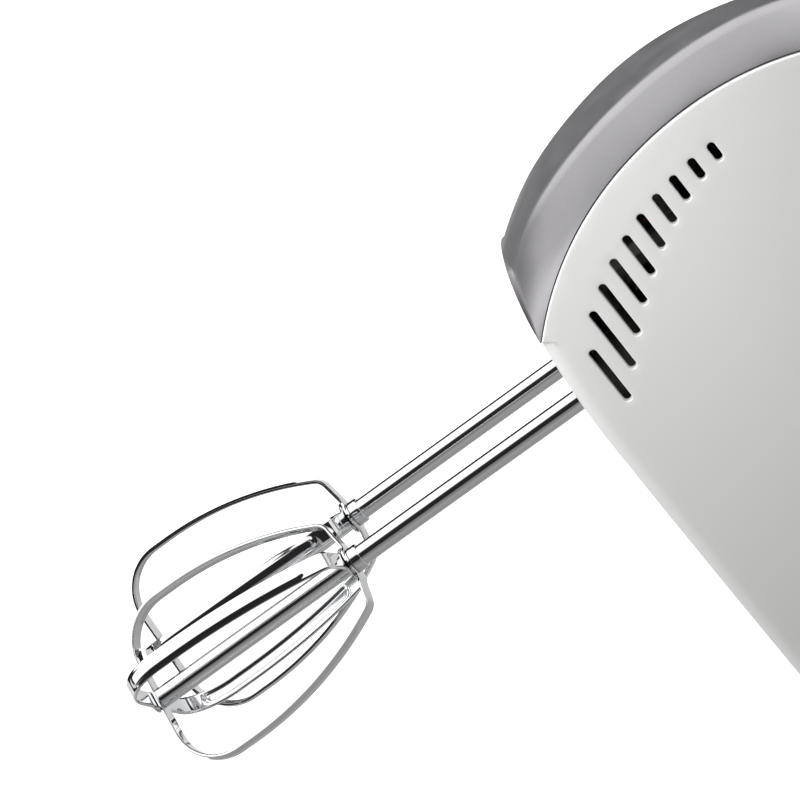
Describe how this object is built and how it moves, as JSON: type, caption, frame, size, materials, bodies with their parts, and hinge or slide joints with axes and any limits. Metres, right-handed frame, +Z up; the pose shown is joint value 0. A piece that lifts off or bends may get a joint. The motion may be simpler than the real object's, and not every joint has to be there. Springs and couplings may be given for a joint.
{
  "type": "hand mixer",
  "caption": "Electric hand mixer with a closed loop handle, vented side shells, a nose band and a pair of counter-rotating wire-loop beaters, standing on its heel.",
  "frame": {"origin": "centre of the flat heel pad that the mixer stands on", "axes": "+Z up from the heel towards the nose, +X the way the beaters point, +Y the mixer's left side"},
  "size_m": [0.3154, 0.0871, 0.2044],
  "materials": {
    "white_shell": "glossy moulded ABS",
    "grey_band": "satin painted plastic",
    "dark_plastic": "moulded, fine texture",
    "black_rubber": "soft rubber",
    "natural_plastic": "moulded nylon",
    "gear_nylon": "greased nylon",
    "board_laminate": "lacquered laminate",
    "yellow_film": "moulded case",
    "wire_insulation": "insulated wire",
    "zinc_steel": "zinc plated",
    "spring_steel": "drawn wire",
    "shaft_steel": "ground steel",
    "core_steel": "laminated core",
    "enamelled_copper": "enamelled wire",
    "bare_copper": "turned copper",
    "bronze": "sintered, oiled",
    "brass_contact": "stamped brass",
    "brush_carbon": "pressed carbon",
    "bracket_aluminium": "die-cast",
    "heat_sink_aluminium": "extruded",
    "beater_chrome": "polished chrome plate"
  },
  "bodies": {
    "housing": {"left_side_shell": "white_shell", "right_side_shell": "white_shell", "spine_band": "grey_band", "heel_plate": "grey_band", "heel_pad": "black_rubber", "left_port_ring": "dark_plastic", "right_port_ring": "dark_plastic", "shell_screws": "zinc_steel", "cord_gland": "black_rubber", "selector_switch": "dark_plastic", "turbo_spring": "spring_steel", "turbo_switch": "dark_plastic", "eject_spring": "spring_steel", "speed_board": "board_laminate", "suppressor_capacitor": "yellow_film", "heat_sink": "heat_sink_aluminium", "terminal_block": "natural_plastic", "internal_leads": "wire_insulation", "stator_core": "core_steel", "upper_field_coil": "enamelled_copper", "lower_field_coil": "enamelled_copper", "front_bracket": "bracket_aluminium", "rear_bracket": "bracket_aluminium", "shaft_bearings": "bronze", "motor_bolts": "zinc_steel", "left_brush": "brush_carbon", "right_brush": "brush_carbon", "brush_holders": "brass_contact", "brush_springs": "spring_steel", "gear_frame": "natural_plastic", "gear_cover": "natural_plastic", "gear_screws": "zinc_steel", "spindle_bushes": "bronze"},
    "armature": {"armature_core": "core_steel", "armature_winding": "enamelled_copper", "commutator": "bare_copper", "motor_shaft": "shaft_steel", "cooling_fan": "dark_plastic", "worm": "shaft_steel"},
    "left_drive": {"left_worm_wheel": "gear_nylon", "left_spindle": "shaft_steel"},
    "right_drive": {"right_worm_wheel": "gear_nylon", "right_spindle": "shaft_steel"},
    "left_beater": {"left_stem": "beater_chrome", "left_collar": "beater_chrome", "left_broad_loop": "beater_chrome", "left_cross_loop": "beater_chrome"},
    "right_beater": {"right_stem": "beater_chrome", "right_collar": "beater_chrome", "right_broad_loop": "beater_chrome", "right_cross_loop": "beater_chrome"},
    "ejector": {"eject_button": "dark_plastic", "ejector_fork": "natural_plastic"},
    "turbo": {"turbo_button": "dark_plastic"},
    "selector": {"speed_selector": "dark_plastic", "selector_carriage": "brass_contact"}
  },
  "joints": [
    {"name": "motor_spin", "type": "hinge", "parent": "housing", "child": "armature", "pos_m": [0.026, 0, 0.13893], "axis": [0, 0, 1], "continuous": true},
    {"name": "left_spindle_spin", "type": "hinge", "parent": "housing", "child": "left_drive", "pos_m": [0.026, 0.018, 0.13893], "axis": [-1, 0, 0], "continuous": true},
    {"name": "right_spindle_spin", "type": "hinge", "parent": "housing", "child": "right_drive", "pos_m": [0.026, -0.018, 0.13893], "axis": [-1, 0, 0], "continuous": true},
    {"name": "eject_press", "type": "slide", "parent": "housing", "child": "ejector", "axis": [1, 0, 0], "range_m": [0, 0.007], "stiffness_N_per_m": 900, "springref_m": -0.003, "deforming": ["eject_spring"]},
    {"name": "left_beater_release", "type": "slide", "parent": "left_drive", "child": "left_beater", "axis": [1, 0, 0], "range_m": [0, 0.007]},
    {"name": "right_beater_release", "type": "slide", "parent": "right_drive", "child": "right_beater", "axis": [1, 0, 0], "range_m": [0, 0.007]},
    {"name": "turbo_press", "type": "slide", "parent": "housing", "child": "turbo", "axis": [1, 0, 0], "range_m": [0, 0.0025], "stiffness_N_per_m": 800, "springref_m": -0.003, "deforming": ["turbo_spring"]},
    {"name": "speed_slide", "type": "slide", "parent": "housing", "child": "selector", "axis": [0, 0, 1], "range_m": [0, 0.015]}
  ],
  "couplings": [
    {"joint": "left_spindle_spin", "follows": "motor_spin", "ratio": -0.074074},
    {"joint": "right_spindle_spin", "follows": "motor_spin", "ratio": 0.074074},
    {"joint": "left_beater_release", "follows": "eject_press", "ratio": 1},
    {"joint": "right_beater_release", "follows": "eject_press", "ratio": 1}
  ]
}
